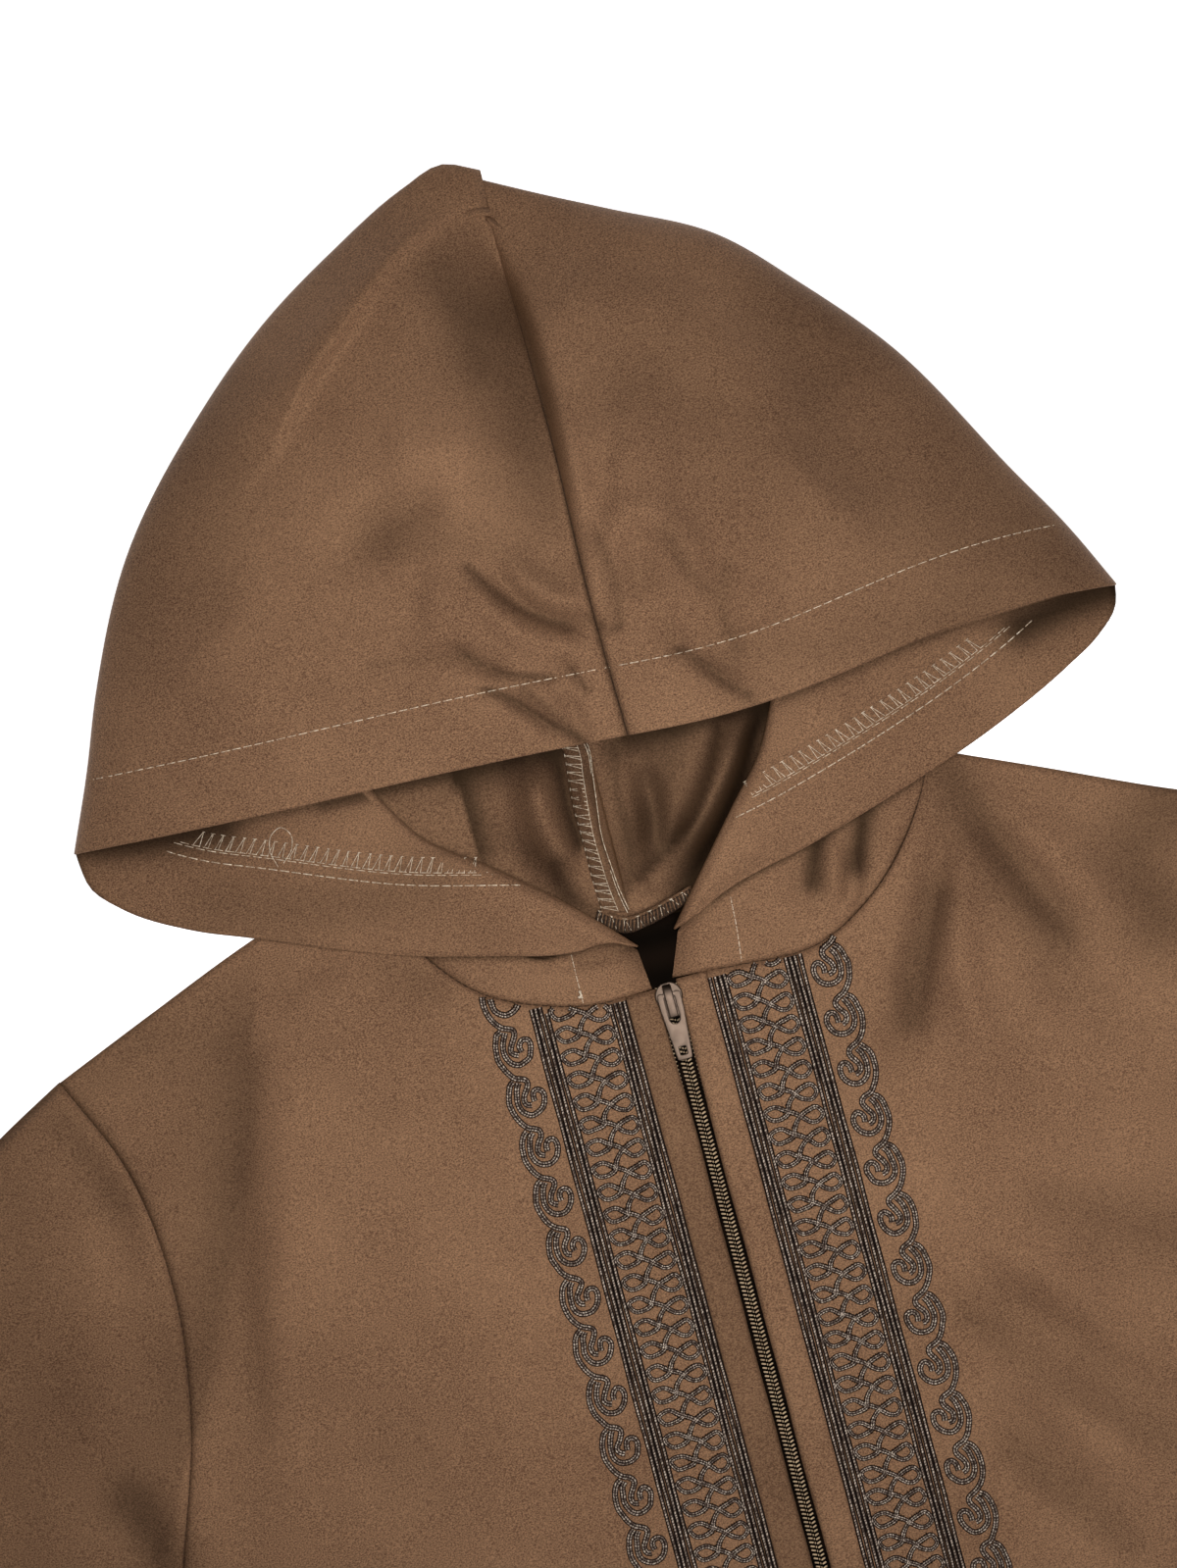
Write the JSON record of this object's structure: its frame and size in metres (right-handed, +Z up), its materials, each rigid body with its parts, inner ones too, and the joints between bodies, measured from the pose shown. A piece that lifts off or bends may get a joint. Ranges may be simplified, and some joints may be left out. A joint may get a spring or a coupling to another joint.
{
  "type": "djellaba robe",
  "caption": "Brown hooded djellaba robe with a zip neck and dark soutache braid, laid flat on its back",
  "frame": {"origin": "middle of the bounding box, on the surface the robe lies on", "axes": "+X to the picture's right across the robe, +Y from the hem to the hood's peak, +Z up"},
  "size_m": [1.2262, 1.6587, 0.0391],
  "materials": {
    "brown_cloth": "matte peach-skin weave",
    "soutache_cord": "dark braided cord with lighter strands",
    "zip_coil_and_tape": "nylon coil on woven tape",
    "nickel": "worn nickel plate"
  },
  "bodies": {
    "robe": {"back": "brown_cloth", "front_left": "brown_cloth", "front_right": "brown_cloth", "sleeve_left": "brown_cloth", "sleeve_right": "brown_cloth", "hood_left": "brown_cloth", "hood_right": "brown_cloth", "placket_left": "brown_cloth", "placket_right": "brown_cloth", "trim_left": "soutache_cord", "trim_right": "soutache_cord", "zip": "zip_coil_and_tape", "zip_slider": "nickel"},
    "pull": {"zip_pull": "nickel"}
  },
  "joints": [
    {"name": "pull_hinge", "type": "hinge", "parent": "robe", "child": "pull", "pos_m": [0, 0.49565, 0.00675], "axis": [-1, 0, 0], "range_deg": [0, 150]}
  ]
}
